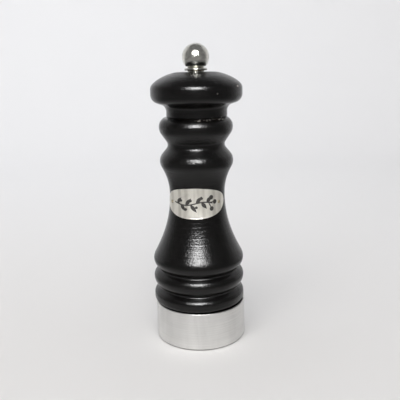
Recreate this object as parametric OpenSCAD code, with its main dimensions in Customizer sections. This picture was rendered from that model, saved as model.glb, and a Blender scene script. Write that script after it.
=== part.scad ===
// Turned wooden pepper mill with a steel base ring, an oval name plate and a
// ball knob that sets the grind.  Millimetres, +Z up, origin on the surface
// the mill stands on, at the centre of the base ring.  -Y is the front.

/* [Base ring] */
// Outer radius of the steel ring
ring_r = 28; // [27.9:0.1:28.4]
// Height of the ring's rim above the surface it stands on
ring_h = 23.4; // [20:0.2:23.6]
// Sheet thickness of the ring
ring_wall = 1.1; // [0.8:0.1:1.1]
// How far the ring's lower edge is turned in under the wood
ring_lip = 3.4; // [2:0.2:4]

/* [Turned outline] */
// How far the body's turned outside sits off its bore, towards -X
wood_shift = 0.7; // [0:0.1:0.7]
// Largest radius of the two lower beads
bead_r = 28.2; // [28:0.1:28.6]
// Radius at the bottom of the two grooves between the lower beads
groove_r = 24.9; // [24.8:0.05:25.1]
// Smallest radius of the waist
waist_r = 16.8; // [16.4:0.1:17.4]
// Largest radius of the two beads above the waist
collar_r = 22.1; // [21.8:0.1:22.6]
// Radius at the bottom of the cove between those two beads
cove_r = 17.2; // [17:0.05:17.5]
// Radius of the head's neck
neck_r = 18.1; // [17.4:0.1:18.4]
// Largest radius of the head
cap_r = 27.1; // [26.8:0.1:27.4]

/* [Name plate] */
// Length of the oval, measured round the waist
plate_w = 44.6; // [36:0.2:46]
// Height of the oval
plate_h = 18.4; // [16:0.2:19]
// Height of the oval's centre
plate_z = 88.8; // [88:0.1:90]
// How far the oval is turned from the front towards -X, in degrees
plate_turn = 6; // [-20:1:20]
// Sheet thickness of the plate
plate_t = 0.5; // [0.3:0.1:0.6]

/* [Knob] */
// Radius of the ball
ball_r = 7.9; // [7.6:0.1:8.2]
// Height of the ball's centre
ball_z = 172.4; // [172:0.1:172.8]
// Outer radius of the collar under the ball
knob_collar_r = 6.7; // [6:0.1:6.8]

/* [Spindle] */
// Width across the flats of the square bar
spindle_flats = 5.4; // [5:0.1:5.4]
// Radius of the bar's rounded corners, which turn in the bridge
spindle_corner_r = 3.5; // [3.45:0.05:3.55]
// Outer radius of the thread at the top
thread_r = 2.5; // [2.4:0.05:2.5]
// Distance from one thread crest to the next
thread_pitch = 0.8; // [0.7:0.1:1]

/* [Burrs] */
// Gap between the grinding faces at the coarsest setting, level with each other
burr_gap = 0.55; // [0.5:0.05:0.7]
// Number of fine grooves round the inner burr
fine_grooves = 20; // [16:1:24]
// Number of deep feed grooves round the inner burr
feed_grooves = 8; // [6:1:10]

/* [Spring] */
// Number of turns in the spring, its closed ends included
spring_turns = 6.5; // [6:0.5:7]
// Radius of the spring's wire
wire_r = 0.5; // [0.4:0.05:0.5]

/* [Hidden] */

$fn = 96;
fit = 0.08;            // running clearance of every shaft in its hole
eps = 0.01;

// Heights, from the bottom up
wood_bottom = ring_wall;
recess_top = 7;        // roof of the recess that takes the retaining plate
clip_z = 6.2;
sheet = 0.8;           // thickness of the clip and of the washers inside
burr_bottom = 7.8;     // lower face of the inner burr
burr_top = 20;
outer_burr_top = 19;
throat_z = 13;         // narrowest height of the outer burr
bore_shoulder = 34;    // where the wide lower bore meets the pepper chamber
body_top = 137.7;
counterbore_z = 125.6; // where the chamber widens to take the head's spigot
spigot_bottom = 126.2;
neck_bottom = 138;
square_top = 150;      // end of the spindle's square part
bush_bottom = 152.5;
dish_z = 163.3;        // flat of the hollow in the head's top
spindle_bottom = 5.2;
spindle_top = 173;

// Radii inside the wood
tenon_r = ring_r - ring_wall - wood_shift - 0.1;
recess_r = 19.4;
retaining_r = 19;
outer_burr_r = 13;
lower_bore_r = 13.15;
chamber_r = 12;
spigot_r = 12.95;
screw_circle_r = 16;
drive_screw_r = 6.8;   // distance of the drive plate's screws from the axis
bush_r = 4.2;
flange_r = 5.4;
washer_r = 5.8;

// Points along part of a circle, angles from the outward direction, upwards
function arc(r, z, rho, from, to, n) =
    [for (i = [0:n]) let (a = from + (to - from) * i / n) [r + rho * cos(a), z + rho * sin(a)]];

// Points along a cubic curve that leaves p towards q and arrives at t from s
function curve(p, q, s, t, n) =
    [for (i = [0:n]) let (u = i / n, v = 1 - u)
        v * v * v * p + 3 * v * v * u * q + 3 * v * u * u * s + u * u * u * t];

// A bead's round: rho is its radius, r_max its largest distance from the axis
function bead(r_max, z, rho, from, to, n) = arc(r_max - rho, z, rho, from, to, n);

// A hollow's round: r_min is its smallest distance from the axis
function hollow(r_min, z, rho, below, above, n) =
    arc(r_min + rho, z, rho, 180 + below, 180 - above, n);

flare_top = [bead_r - 0.85, 54];
waist = [waist_r, 91.5];
collar_start = bead(collar_r + 0.05, 112, 7, -29, -29, 1)[0];

// Outline of the waist, where the name plate lies
waist_outline = curve(flare_top, flare_top + [-5.9, 11], waist - [0, 15], waist, 24);
collar_outline = curve(waist, waist + [0, 6], collar_start - [3.2, 5.7], collar_start, 12);

body_outline = concat(
    [[tenon_r, wood_bottom], [tenon_r, ring_h]],
    bead(bead_r, 26.2, 2.2, -66, -6, 7),
    bead(bead_r, 28.1, 4.1, 0, 58, 9),
    hollow(groove_r, 33.2, 1.1, 58, 48, 6),
    bead(bead_r - 0.05, 39.5, 6.8, -46, -6, 6),
    bead(bead_r - 0.05, 39.5, 4.9, 0, 58, 9),
    hollow(groove_r, 44.95, 1.1, 58, 48, 6),
    bead(bead_r - 0.2, 51.2, 6.5, -48, -6, 6),
    bead(bead_r - 0.2, 51.2, 5, 0, 20, 3),
    waist_outline,
    [for (i = [1:len(collar_outline) - 2]) collar_outline[i]],
    bead(collar_r + 0.05, 112, 7, -29, 40, 11),
    hollow(cove_r, 121.8, 3.6, 40, 35, 9),
    bead(collar_r, 132.4, 7.5, -35, -4, 6),
    bead(collar_r, 132.4, 6.2, 0, 56, 9),
    [[neck_r + 0.9, body_top]]);

cap_edge = bead(cap_r, 154.2, 4.8, 30, 30, 1)[0];
crown = [10.5, dish_z + 0.7];

head_outline = concat(
    [[spigot_r, neck_bottom], [neck_r - 0.4, neck_bottom], [neck_r, neck_bottom + 0.6]],
    hollow(neck_r, 141.5, 4.4, 0, 65, 9),
    bead(cap_r, 151.4, 5.2, -65, 0, 10),
    bead(cap_r, 154.2, 4.8, 0, 25, 4),
    curve(cap_edge, cap_edge + [-1.9, 3.3], crown + [5, 0], crown, 12),
    [[8.6, dish_z + 0.5], [7, dish_z]]);

module tube(r_out, r_in, z0, z1) {
    translate([0, 0, z0]) difference() {
        cylinder(r = r_out, h = z1 - z0);
        translate([0, 0, -1]) cylinder(r = r_in, h = z1 - z0 + 2);
    }
}

module around(count, r, start = 0) {
    for (i = [0:count - 1]) rotate([0, 0, start + i * 360 / count]) translate([r, 0, 0]) children();
}

// A screw with a domed, cross-slotted head.  It points up, its head hangs below z = 0.
module screw(head_r, head_h, shank_r, length) {
    difference() {
        union() {
            intersection() {
                translate([0, 0, -head_h]) cylinder(r = head_r, h = head_h);
                translate([0, 0, head_r * 0.9]) sphere(r = head_h + head_r * 0.9);
            }
            translate([0, 0, -eps]) cylinder(r = shank_r, h = length - shank_r + eps);
            translate([0, 0, length - shank_r - eps]) cylinder(r1 = shank_r, r2 = 0.2, h = shank_r);
        }
        for (a = [0, 90]) rotate([0, 0, a])
            translate([-head_r * 0.55, -head_r * 0.13, -head_h - 1])
                cube([head_r * 1.1, head_r * 0.26, 1 + head_h * 0.55]);
    }
}

module base_ring() {
    color("gainsboro") rotate_extrude($fn = 180) polygon(concat(
        [[ring_r - ring_lip, 0]],
        arc(ring_r - 0.5, 0.5, 0.5, -90, 0, 4),
        arc(ring_r - 0.25, ring_h - 0.25, 0.25, 0, 90, 3),
        [[ring_r - ring_wall, ring_h], [ring_r - ring_wall, ring_wall],
            [ring_r - ring_lip, ring_wall]]));
}

module body() {
    color([0.07, 0.065, 0.06]) difference() {
        translate([-wood_shift, 0, 0]) rotate_extrude($fn = 180)
            polygon(concat([[0, wood_bottom]], body_outline, [[0, body_top]]));
        translate([0, 0, -1]) cylinder(r = recess_r, h = recess_top + 1);
        cylinder(r = lower_bore_r, h = bore_shoulder);
        cylinder(r = chamber_r, h = body_top + 1);
        translate([0, 0, counterbore_z]) cylinder(r = spigot_r + fit, h = body_top);
        around(3, screw_circle_r, 90) cylinder(r = 1.55, h = 17, $fn = 32);
        plate_pin_places() cylinder(r = 0.55, h = 6, center = true, $fn = 24);
    }
}

// Oval seen from the front: its points are spaced round the waist
function oval_outline(w, h) = [for (a = [0:7.5:359])
    [waist_r * sin(w / 2 * cos(a) / waist_r * 180 / PI), plate_z + h / 2 * sin(a)]];

module plate_pin_places() {
    pin_angle = (plate_w / 2 - 6.8) / waist_r * 180 / PI;
    translate([-wood_shift, 0, plate_z]) for (side = [-1, 1])
        rotate([90, 0, -plate_turn + side * pin_angle]) translate([0, 0, waist_r + 0.1]) children();
}

module name_plate() {
    wrap = [for (p = concat(waist_outline, collar_outline)) if (p[1] > 74 && p[1] < 104) p];
    inner = [for (p = wrap) p + [0.06, 0]];
    outer = [for (i = [len(wrap) - 1:-1:0]) wrap[i] + [0.06 + plate_t, 0]];
    color("silver") difference() {
        translate([-wood_shift, 0, 0]) intersection() {
            rotate_extrude($fn = 180) polygon(concat(inner, outer));
            rotate([0, 0, -plate_turn]) rotate([90, 0, 0])
                linear_extrude(30) polygon(oval_outline(plate_w, plate_h));
        }
        plate_pin_places() cylinder(r = 0.6, h = 6, center = true, $fn = 24);
    }
}

module name_plate_pins() {
    head_z = 0.16 + plate_t;
    color("silver") plate_pin_places() {
        translate([0, 0, -2.9]) cylinder(r = 0.5, h = 2.9 + head_z, $fn = 24);
        translate([0, 0, head_z]) intersection() {
            cylinder(r = 1, h = 0.6, $fn = 32);
            translate([0, 0, -0.9]) sphere(r = 1.35, $fn = 32);
        }
    }
}

// V-shaped cutter along a cone: r at z, leaning by slope, slanted round the axis
module groove(count, r, z, length, depth, slope, slant, outwards) {
    side = outwards ? 1 : -1;
    around(count, r) translate([0, 0, z]) rotate([slant, slope, 0]) translate([0, 0, -1])
        linear_extrude(length + 2) polygon([[side * depth, 0], [-side * 0.8, depth * 0.9],
            [-side * 0.8, -depth * 0.9]]);
}

grind_slope = 0.25;    // how fast the grinding cone narrows upwards
function grind_r(z) = 11 - grind_slope * (z - recess_top);
grind_angle = atan(grind_slope);

module outer_burr() {
    color("dimgray") difference() {
        translate([0, 0, recess_top]) cylinder(r = outer_burr_r, h = outer_burr_top - recess_top);
        translate([0, 0, recess_top - 1])
            cylinder(r1 = grind_r(recess_top - 1), r2 = grind_r(throat_z + eps),
                h = throat_z + eps - recess_top + 1);
        translate([0, 0, throat_z])
            cylinder(r1 = grind_r(throat_z), r2 = 11.95, h = outer_burr_top + 1 - throat_z);
        groove(18, grind_r(recess_top), recess_top, 6, 0.5, -grind_angle, 18, true);
        groove(feed_grooves, grind_r(throat_z), throat_z - 0.5, 7, 0.9, 20, -22, true);
    }
}

module inner_burr() {
    lower_r = grind_r(burr_bottom) - burr_gap;
    throat_r = grind_r(throat_z) - burr_gap;
    color("dimgray") difference() {
        rotate_extrude() polygon([[0, burr_bottom], [lower_r, burr_bottom], [throat_r, throat_z],
            [6.2, burr_top - 0.4], [5.8, burr_top], [0, burr_top]]);
        square_hole(burr_bottom - 1, burr_top + 1);
        groove(fine_grooves, lower_r, burr_bottom, 5, 0.45, -grind_angle, -18, false);
        groove(feed_grooves, throat_r + 0.2, throat_z - 1, 8, 1.9, -21, 22, false);
    }
}

module square_hole(z0, z1) {
    width = spindle_flats + 2 * fit;
    translate([-width / 2, -width / 2, z0]) cube([width, width, z1 - z0]);
}

module burr_washer() {
    color("silver") tube(4.8, spindle_corner_r + fit, clip_z + sheet, burr_bottom);
}

module spindle_clip() {
    color("gray") translate([0, 0, clip_z]) difference() {
        cylinder(r = 4.4, h = sheet);
        translate([0, 0, -1]) cylinder(r = 2.35, h = sheet + 2);
        translate([-1.7, 0, -1]) cube([3.4, 6, sheet + 2]);
        for (a = [30, 150]) rotate([0, 0, a]) translate([3.6, -0.7, -1]) cube([2, 1.4, sheet + 2]);
    }
}

module spindle() {
    thread_depth = 0.35;
    turns = floor((spindle_top - square_top - 3) / thread_pitch);
    thread = [for (i = [0:turns - 1]) each [
        [thread_r - thread_depth, square_top + 2 + i * thread_pitch],
        [thread_r, square_top + 2 + (i + 0.5) * thread_pitch]]];
    color("lightgray") union() {
        difference() {
            intersection() {
                translate([-spindle_flats / 2, -spindle_flats / 2, spindle_bottom])
                    cube([spindle_flats, spindle_flats, square_top - spindle_bottom]);
                translate([0, 0, spindle_bottom])
                    cylinder(r = spindle_corner_r, h = square_top - spindle_bottom);
            }
            tube(6, 2.3, clip_z, clip_z + sheet);
        }
        rotate_extrude($fn = 48) polygon(concat(
            [[0, square_top - 1], [thread_r - thread_depth, square_top - 1]],
            thread,
            [[thread_r - thread_depth, spindle_top - 0.6], [thread_r - 0.9, spindle_top], [0, spindle_top]]));
    }
}

module lower_spring_washer() {
    color("silver") tube(washer_r, spindle_corner_r + fit, burr_top, burr_top + sheet);
}

spring_z0 = burr_top + sheet;
spring_z1 = 30.9;
spring_mean_r = 4.75;

// Height along the spring: the first and last turns lie flat
function spring_rise(t) =
    let (flat = 0.9 / spring_turns, u = max(0, min(1, (t - flat) / (1 - 2 * flat))))
    spring_z0 + wire_r + 2 * wire_r * (min(t, flat) + max(0, t - 1 + flat)) / flat * 1.03
        + u * (spring_z1 - spring_z0 - 2 * wire_r - 4 * wire_r * 1.03);

module spring() {
    sides = 8;
    steps = round(spring_turns * 20);
    points = [for (i = [0:steps], j = [0:sides - 1])
        let (t = i / steps, a = 360 * spring_turns * t, b = 360 * j / sides,
             r = spring_mean_r + wire_r * cos(b))
        [r * cos(a), r * sin(a), spring_rise(t) + wire_r * sin(b)]];
    walls = [for (i = [0:steps - 1], j = [0:sides - 1]) let (k = (j + 1) % sides)
        [i * sides + j, i * sides + k, (i + 1) * sides + k, (i + 1) * sides + j]];
    color("lightsteelblue") polyhedron(points, concat(walls,
        [[for (j = [sides - 1:-1:0]) j], [for (j = [0:sides - 1]) steps * sides + j]]));
}

module upper_spring_washer() {
    color("silver") tube(washer_r, spindle_corner_r + fit, spring_z1, spring_z1 + sheet);
}

module bridge() {
    bar_bottom = spring_z1 + sheet + 0.1;
    leg_x = 11;
    color("darkgray") difference() {
        intersection() {
            translate([0, 0, outer_burr_top]) cylinder(r = outer_burr_r, h = bore_shoulder - outer_burr_top);
            translate([-20, -4.5, 0]) cube([40, 9, bore_shoulder]);
        }
        translate([-leg_x, -10, 0]) cube([2 * leg_x, 20, bar_bottom]);
        cylinder(r = spindle_corner_r + fit, h = 60);
    }
}

module retaining_plate() {
    color("silver") difference() {
        translate([0, 0, recess_top - 1.4]) cylinder(r = retaining_r, h = 1.4);
        cylinder(r = 11.5, h = 20);
        around(3, screw_circle_r, 90) cylinder(r = 1.7, h = 20, $fn = 32);
    }
}

module retaining_screws() {
    color("silver") around(3, screw_circle_r, 90) translate([0, 0, recess_top - 1.4])
        screw(2.9, 1.7, 1.5, 11, $fn = 32);
}

module drive_plate() {
    color("silver") difference() {
        translate([0, 0, spigot_bottom - 1.4]) cylinder(r = 9.6, h = 1.4);
        square_hole(100, 200);
        around(2, drive_screw_r) cylinder(r = 1.5, h = 200, $fn = 32);
    }
}

module drive_plate_screws() {
    color("silver") around(2, drive_screw_r) translate([0, 0, spigot_bottom - 1.4])
        screw(2.4, 1.2, 1.3, 9, $fn = 32);
}

module head() {
    color([0.07, 0.065, 0.06]) difference() {
        rotate_extrude($fn = 180) polygon(concat(
            [[0, spigot_bottom], [spigot_r - 0.6, spigot_bottom], [spigot_r, spigot_bottom + 0.6]],
            head_outline, [[0, dish_z]]));
        cylinder(r = bush_r + 0.05, h = 200);
        translate([0, 0, dish_z - sheet]) cylinder(r = flange_r + 0.1, h = 10);
        around(2, drive_screw_r) translate([0, 0, spigot_bottom - 1])
            cylinder(r = 1.35, h = 10, $fn = 32);
    }
}

module head_bush() {
    color("goldenrod") {
        tube(bush_r, thread_r + fit, bush_bottom, dish_z - sheet + eps);
        tube(flange_r, thread_r + fit, dish_z - sheet, dish_z);
    }
}

washer_bottom = dish_z + 0.05;
knob_bottom = washer_bottom + 0.75;

module knob_washer() {
    color("silver") tube(5, thread_r + fit, washer_bottom, washer_bottom + 0.7);
}

module knob() {
    collar_z = knob_bottom + 0.75;
    neck_z = collar_z + 1.85;
    ball_from = -asin((ball_z - neck_z - 0.5) / ball_r);
    color("silver") difference() {
        rotate_extrude() polygon(concat(
            [[0, knob_bottom], [4.8, knob_bottom], [4.8, collar_z - 0.1]],
            [[knob_collar_r - 0.25, collar_z], [knob_collar_r, collar_z + 0.45]],
            [[knob_collar_r, collar_z + 1], [knob_collar_r - 0.3, collar_z + 1.3]],
            [[4.9, collar_z + 1.5], [4.6, neck_z]],
            arc(0, ball_z, ball_r, ball_from, 90, 30)));
        translate([0, 0, knob_bottom - 1]) cylinder(r = thread_r + fit, h = spindle_top + 4.5 - knob_bottom);
    }
}

base_ring();
body();
name_plate();
name_plate_pins();
outer_burr();
retaining_plate();
retaining_screws();
bridge();
upper_spring_washer();
spring();
lower_spring_washer();
spindle();
inner_burr();
burr_washer();
spindle_clip();
head();
drive_plate();
drive_plate_screws();
head_bush();
knob_washer();
knob();
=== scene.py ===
"""Looks of the turned pepper mill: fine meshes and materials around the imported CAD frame."""

import math
import random

import bmesh
import bpy
from mathutils import Matrix, Vector


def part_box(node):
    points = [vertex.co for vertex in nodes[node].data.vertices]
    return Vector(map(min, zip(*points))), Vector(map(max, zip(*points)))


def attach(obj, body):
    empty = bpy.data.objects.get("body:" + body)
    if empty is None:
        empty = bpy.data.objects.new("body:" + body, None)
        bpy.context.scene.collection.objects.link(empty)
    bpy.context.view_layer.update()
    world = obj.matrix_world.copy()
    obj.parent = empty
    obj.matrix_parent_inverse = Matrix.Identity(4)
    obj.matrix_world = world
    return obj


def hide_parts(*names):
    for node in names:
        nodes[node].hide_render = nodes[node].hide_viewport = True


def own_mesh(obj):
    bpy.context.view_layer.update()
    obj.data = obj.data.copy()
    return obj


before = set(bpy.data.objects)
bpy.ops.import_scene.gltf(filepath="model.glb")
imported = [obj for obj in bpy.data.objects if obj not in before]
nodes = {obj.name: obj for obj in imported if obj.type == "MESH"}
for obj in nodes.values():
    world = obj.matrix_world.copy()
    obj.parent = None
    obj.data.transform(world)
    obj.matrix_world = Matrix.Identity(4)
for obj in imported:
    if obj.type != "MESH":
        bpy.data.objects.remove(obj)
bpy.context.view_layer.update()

MM = 0.001
SQUARE_HOLE = 2.78 * MM      # half the width of the square holes that fit the spindle
ROUND_HOLE = 3.58 * MM       # radius of the holes that clear the spindle's corners
THREAD_HOLE = 2.58 * MM      # radius of the holes round the spindle's thread
SEGMENTS = 224               # steps round a turned piece
JOIN = 2e-7                  # vertices closer than this are one
SEAM_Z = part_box("body")[1].z  # where the head meets the body
# the body's turned outside stands a little off its bore
WOOD_X = (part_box("body")[0].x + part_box("body")[1].x) / 2
WAIST_R = 16.8 * MM          # the plate is measured round a cylinder of this radius
BODY_FLOOR_R = 16 * MM       # between the body's bores and its outside


# ---- outlines

def corners_of(node, floor_r, centre_x=0.0):
    """(r, z) corners of a turned CAD node's outer face, upwards. floor_r(z) leaves out bores."""
    rows = {}
    for vertex in nodes[node].data.vertices:
        x, y, z = vertex.co
        r = math.hypot(x - centre_x, y)
        if y > 0 and r > floor_r(z):
            rows[round(z, 6)] = max(rows.get(round(z, 6), 0), r)
    return [(r, z) for z, r in sorted(rows.items())]


def eased(points, size, least_turn=30):
    """The outline with every sharp corner rounded over the length size."""
    made = [points[0]]
    for before, here, after in zip(points, points[1:], points[2:]):
        p, a, b = Vector(here), Vector(before), Vector(after)
        into, out = p - a, b - p
        if into.length and out.length and math.degrees(into.angle(out)) > least_turn:
            cut = min(size, into.length * 0.45, out.length * 0.45)
            start, end = p - into.normalized() * cut, p + out.normalized() * cut
            for t in (0, 0.25, 0.5, 0.75, 1):
                made.append(tuple(start * (1 - t) ** 2 + p * 2 * t * (1 - t) + end * t * t))
        else:
            made.append(here)
    return made + [points[-1]]


def smoothed(points, step=1.2 * MM, turn=4.0, corner=30):
    """A finer outline through the points, curved everywhere but at its corners."""
    p = [Vector(q) for q in points]
    tangents = []
    for i, here in enumerate(p):
        into = (here - p[i - 1]) if i else p[1] - p[0]
        out = (p[i + 1] - here) if i + 1 < len(p) else into
        if math.degrees(into.angle(out)) > corner:
            tangents.append((into.normalized(), out.normalized()))
        else:
            mean = (into.normalized() * out.length + out.normalized() * into.length).normalized()
            tangents.append((mean, mean))
    made, widest = [tuple(p[0])], max(q.x for q in p)
    for i in range(len(p) - 1):
        a, b, length = p[i], p[i + 1], (p[i + 1] - p[i]).length
        ta, tb = tangents[i][1] * length, tangents[i + 1][0] * length
        bend = math.degrees(ta.angle(tb))
        count = max(1, math.ceil(length / step), math.ceil(bend / turn))
        for k in range(1, count + 1):
            t = k / count
            here = (a * (2 * t**3 - 3 * t**2 + 1) + ta * (t**3 - 2 * t**2 + t)
                    + b * (3 * t**2 - 2 * t**3) + tb * (t**3 - t**2))
            made.append((min(here.x, widest), here.y))
    return made


def spaced(first, last, steps):
    """Evenly spaced values from first to last, both included."""
    return [first + (last - first) * i / steps for i in range(steps + 1)]


def in_mm(*pairs):
    """The (r, z) pairs, given in millimetres, in metres."""
    return [(r * MM, z * MM) for r, z in pairs]


# ---- meshes

def mesh_of(name, verts, faces):
    mesh = bpy.data.meshes.new(name)
    mesh.from_pydata([tuple(v) for v in verts], [], faces)
    return mesh


def piece(name, verts, faces, materials, body, replaces, slot, sharp=32):
    """A named mesh that rides on a CAD body and stands for the CAD nodes it replaces."""
    return finished(name, mesh_of(name, verts, faces), materials, body, replaces, sharp)


def cleaned(mesh):
    """The mesh with its doubled vertices joined and its faces turned outwards."""
    work = bmesh.new()
    work.from_mesh(mesh)
    bmesh.ops.remove_doubles(work, verts=work.verts, dist=JOIN)
    bmesh.ops.recalc_face_normals(work, faces=work.faces)
    work.to_mesh(mesh)
    work.free()
    return mesh


def merged(name, meshes):
    """One mesh that holds all of the meshes."""
    work = bmesh.new()
    for mesh in meshes:
        work.from_mesh(mesh)
    made = bpy.data.meshes.new(name)
    work.to_mesh(made)
    work.free()
    return made


def evaluated(obj):
    """The object's mesh as its curve settings or modifiers leave it."""
    bpy.context.view_layer.update()
    graph = bpy.context.evaluated_depsgraph_get()
    return bpy.data.meshes.new_from_object(obj.evaluated_get(graph))


def linked(obj):
    bpy.context.scene.collection.objects.link(obj)
    return obj


def finished(name, mesh, materials, body, replaces, sharp=32):
    """The mesh as a cleaned, smooth-shaded piece that rides on a CAD body. Edges that turn by
    more than sharp degrees stay sharp."""
    cleaned(mesh)
    mesh.shade_smooth()
    mesh.set_sharp_from_angle(angle=math.radians(sharp))
    for material in materials if isinstance(materials, list) else [materials]:
        mesh.materials.append(material)
    obj = linked(bpy.data.objects.new(name, mesh))
    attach(obj, body)
    if replaces:
        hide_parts(*replaces)
    return obj


def band_faces(a, b, count):
    """Faces between two closed rings of count vertices, numbered from a and from b."""
    return [(a + i, a + (i + 1) % count, b + (i + 1) % count, b + i) for i in range(count)]


def turned_mesh(outline, segments=SEGMENTS, closed=True, relief=None, centre_x=0.0):
    """Vertices and faces of an outline turned about +Z. relief(angle, r, z) moves a point out.
    A third number in a row of the outline is the x of that row's own axis."""
    verts, faces = [], []
    for r, z, *axis_x in outline:
        middle = axis_x[0] if axis_x else centre_x
        for i in range(segments):
            a = 2 * math.pi * i / segments
            out = r + (relief(a, r, z) if relief else 0)
            verts.append((middle + out * math.cos(a), out * math.sin(a), z))
    rows = len(outline)
    for j in range(rows if closed else rows - 1):
        k = (j + 1) % rows
        if outline[j][0] < JOIN and outline[k][0] < JOIN:
            continue
        faces += band_faces(j * segments, k * segments, segments)
    return verts, faces


def lofted_mesh(rings):
    """Vertices and faces of a closed skin over rings of equally many points."""
    count, last = len(rings[0]), (len(rings) - 1) * len(rings[0])
    verts = [point for ring in rings for point in ring]
    faces = []
    for first in range(0, last, count):
        faces += band_faces(first, first + count, count)
    return verts, faces + [tuple(range(count))[::-1], tuple(range(last, last + count))]


def joined(shapes):
    """Several (vertices, faces) as one."""
    verts, faces = [], []
    for v, f in shapes:
        faces += [tuple(len(verts) + i for i in corners) for corners in f]
        verts += v
    return verts, faces


def stamped_mesh(name, loops, z0, z1, edge):
    """A flat plate with rounded edges: loops are its outline and its holes, in metres."""
    curve = bpy.data.curves.new(name, "CURVE")
    curve.dimensions, curve.fill_mode = "2D", "BOTH"
    for loop in loops:
        spline = curve.splines.new("POLY")
        spline.points.add(len(loop) - 1)
        for point, (x, y) in zip(spline.points, loop):
            point.co = (x, y, 0, 1)
        spline.use_cyclic_u = True
    curve.extrude = (z1 - z0) / 2 - edge
    curve.bevel_depth, curve.bevel_resolution, curve.offset = edge, 2, -edge
    made = linked(bpy.data.objects.new(name + "_curve", curve))
    mesh = evaluated(made)
    bpy.data.objects.remove(made)
    mesh.transform(Matrix.Translation((0, 0, (z0 + z1) / 2)))
    return mesh


def circle(r, count, centre=(0, 0)):
    return [(centre[0] + r * math.cos(2 * math.pi * i / count),
             centre[1] + r * math.sin(2 * math.pi * i / count)) for i in range(count)]


def around(count, r, start=0):
    """Points spread evenly round the axis, the first at start degrees."""
    return [(r * math.cos(math.radians(start + 360 * i / count)),
             r * math.sin(math.radians(start + 360 * i / count))) for i in range(count)]


# ---- materials

class Shader:
    """A material's node tree, with a short way to add nodes and join them."""

    def __init__(self, name):
        self.material = bpy.data.materials.new(name)
        self.material.use_nodes = True
        self.tree = self.material.node_tree
        self.bsdf = self.tree.nodes["Principled BSDF"]
        self.place = self.add("TexCoord").outputs["Object"]

    def add(self, kind, inputs=None, **settings):
        node = self.tree.nodes.new("ShaderNode" + kind)
        for key, value in settings.items():
            setattr(node, key, value)
        self.join(node, inputs or {})
        return node

    def join(self, node, inputs):
        for key, value in inputs.items():
            socket = node.inputs[key]
            if isinstance(value, bpy.types.NodeSocket):
                self.tree.links.new(value, socket)
            else:
                socket.default_value = value

    def surface(self, **inputs):
        self.join(self.bsdf, {key.replace("_", " "): value for key, value in inputs.items()})

    def stretched(self, scale):
        """Object coordinates scaled by (x, y, z), so that noise made from them is drawn out."""
        return self.add("VectorMath", {0: self.place, 1: scale}, operation="MULTIPLY").outputs[0]

    def noise(self, scale, detail=3, rough=0.5, size=1.0, distortion=0.0):
        place = self.stretched(scale) if isinstance(scale, tuple) else self.stretched((scale,) * 3)
        return self.add("TexNoise", {"Vector": place, "Scale": size, "Detail": detail,
                                     "Roughness": rough, "Distortion": distortion}).outputs["Fac"]

    def remap(self, value, low, high, to_low=0.0, to_high=1.0, smooth=False):
        return self.add("MapRange", {"Value": value, "From Min": low, "From Max": high,
                                     "To Min": to_low, "To Max": to_high}, clamp=True,
                        interpolation_type="SMOOTHSTEP" if smooth else "LINEAR").outputs[0]

    def maths(self, operation, a, b=0.0):
        return self.add("Math", {0: a, 1: b}, operation=operation).outputs[0]

    def mix(self, factor, a, b):
        node = self.add("Mix", data_type="RGBA")
        self.join(node, {0: factor, 6: a, 7: b})
        return node.outputs[2]

    def bump(self, height, strength, distance, normal=None):
        inputs = {"Height": height, "Strength": strength, "Distance": distance}
        if normal is not None:
            inputs["Normal"] = normal
        return self.add("Bump", inputs).outputs["Normal"]

    def axis(self, name):
        """One of the object coordinates X, Y and Z."""
        return self.add("SeparateXYZ", {0: self.place}).outputs[name]

    def radius(self):
        """The distance from the object's Z axis."""
        flat = self.stretched((1, 1, 0))
        return self.add("VectorMath", {0: flat}, operation="LENGTH").outputs["Value"]

    def band(self, value, centre, half_width):
        """1 where value is at centre, falling to 0 at half_width from it."""
        away = self.maths("ABSOLUTE", self.maths("SUBTRACT", value, centre))
        return self.remap(away, half_width, half_width * 0.3, smooth=True)

    def spots(self, places):
        """1 within each of the (point, size) places."""
        total = None
        for point, size in places:
            away = self.add("VectorMath", {0: self.place, 1: point}, operation="DISTANCE")
            ragged = self.maths("ADD", away.outputs["Value"],
                                self.remap(self.noise(3500), 0, 1, -size * 0.5, size * 0.5))
            here = self.remap(ragged, size, size * 0.6)
            total = here if total is None else self.maths("MAXIMUM", total, here)
        return total


def colour(r, g, b):
    return (r, g, b, 1.0)


def worn_places(s, chips, edges):
    """1 where the lacquer is chipped, or flaked off along an edge."""
    worn, x, z = s.spots(chips), s.axis("X"), s.axis("Z")
    for height, half_width, share, (left, right) in edges:
        flakes = s.remap(s.noise(900, detail=4, rough=0.7), 1 - share, 1 - share + 0.05)
        stretch = s.band(x, (left + right) / 2, (right - left) / 2)
        flakes = s.maths("MULTIPLY", flakes, s.remap(stretch, 0, 0.4))
        worn = s.maths("MAXIMUM", worn, s.maths("MULTIPLY", flakes, s.band(z, height, half_width)))
    return worn


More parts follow.
